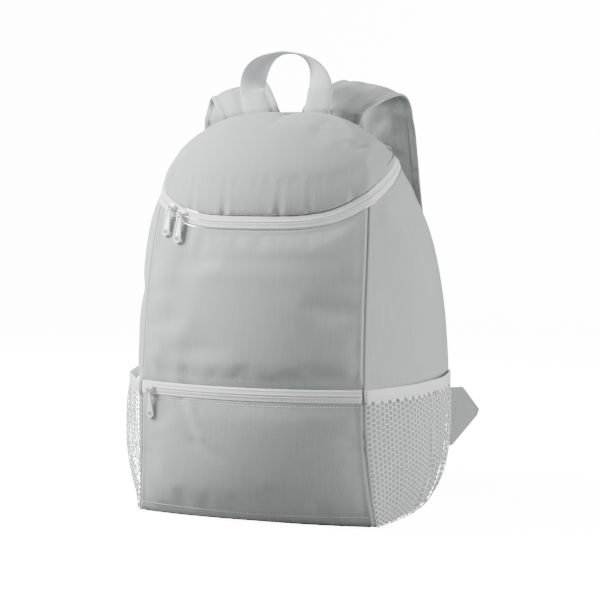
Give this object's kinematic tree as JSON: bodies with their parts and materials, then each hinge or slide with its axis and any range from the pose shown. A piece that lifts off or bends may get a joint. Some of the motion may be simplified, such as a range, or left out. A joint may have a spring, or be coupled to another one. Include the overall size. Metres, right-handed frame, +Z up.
{
  "type": "cooler backpack",
  "caption": "Grey padded cooler backpack with a domed lid that a white zip closes, a zipped front pocket, net side pockets, a webbing handle and padded shoulder straps.",
  "frame": {"origin": "The middle of the base's underside, which stands on the floor.", "axes": "+Z points up. The front pocket and zips face -Y, and the shoulder straps are at +Y. +X is to the right when the bag is seen from the front."},
  "size_m": [0.3478, 0.2333, 0.4338],
  "materials": {
    "grey_canvas": "matt light grey woven polyester over soft padding",
    "grey_binding": "matt light grey woven edge tape",
    "white_net": "white knitted net with open holes",
    "white_tape": "white woven zip tape and edge tape",
    "white_webbing": "white woven webbing with a faint sheen",
    "white_enamel": "smooth white enamel on cast metal"
  },
  "bodies": {
    "root": {"back_panel": "grey_canvas", "base_panel": "grey_canvas", "front_panel": "grey_canvas", "front_pocket": "grey_canvas", "handle": "white_webbing", "lid_panel": "grey_canvas", "main_end_slider": "white_enamel", "main_front_slider": "white_enamel", "main_zip_lower": "white_tape", "main_zip_upper": "white_tape", "net_binding_left": "white_tape", "net_binding_right": "white_tape", "net_pocket_left": "white_net", "net_pocket_right": "white_net", "pocket_slider": "white_enamel", "pocket_zip_lower": "white_tape", "pocket_zip_upper": "white_tape", "shoulder_strap_left": "grey_canvas", "shoulder_strap_right": "grey_canvas", "side_panel_left": "grey_canvas", "side_panel_right": "grey_canvas", "strap_binding_left": "grey_binding", "strap_binding_right": "grey_binding", "strap_tab_left": "grey_canvas", "strap_tab_right": "grey_canvas", "strap_webbing_left": "white_webbing", "strap_webbing_right": "white_webbing"},
    "main_front_pull_body": {"main_front_pull": "white_enamel"},
    "main_end_pull_body": {"main_end_pull": "white_enamel"},
    "pocket_pull_body": {"pocket_pull": "white_enamel"}
  },
  "joints": [
    {"name": "main_front_hinge", "type": "hinge", "parent": "root", "child": "main_front_pull_body", "pos_m": [-0.07365, -0.07993, 0.28109], "axis": [-0.9564, 0.2922, 0], "range_deg": [0, 140]},
    {"name": "main_end_hinge", "type": "hinge", "parent": "root", "child": "main_end_pull_body", "pos_m": [-0.08716, -0.07304, 0.28706], "axis": [-0.938, 0.3467, 0], "range_deg": [0, 140]},
    {"name": "pocket_hinge", "type": "hinge", "parent": "root", "child": "pocket_pull_body", "pos_m": [-0.09727, -0.10373, 0.12019], "axis": [-0.9496, 0.3136, 0], "range_deg": [0, 140]}
  ]
}
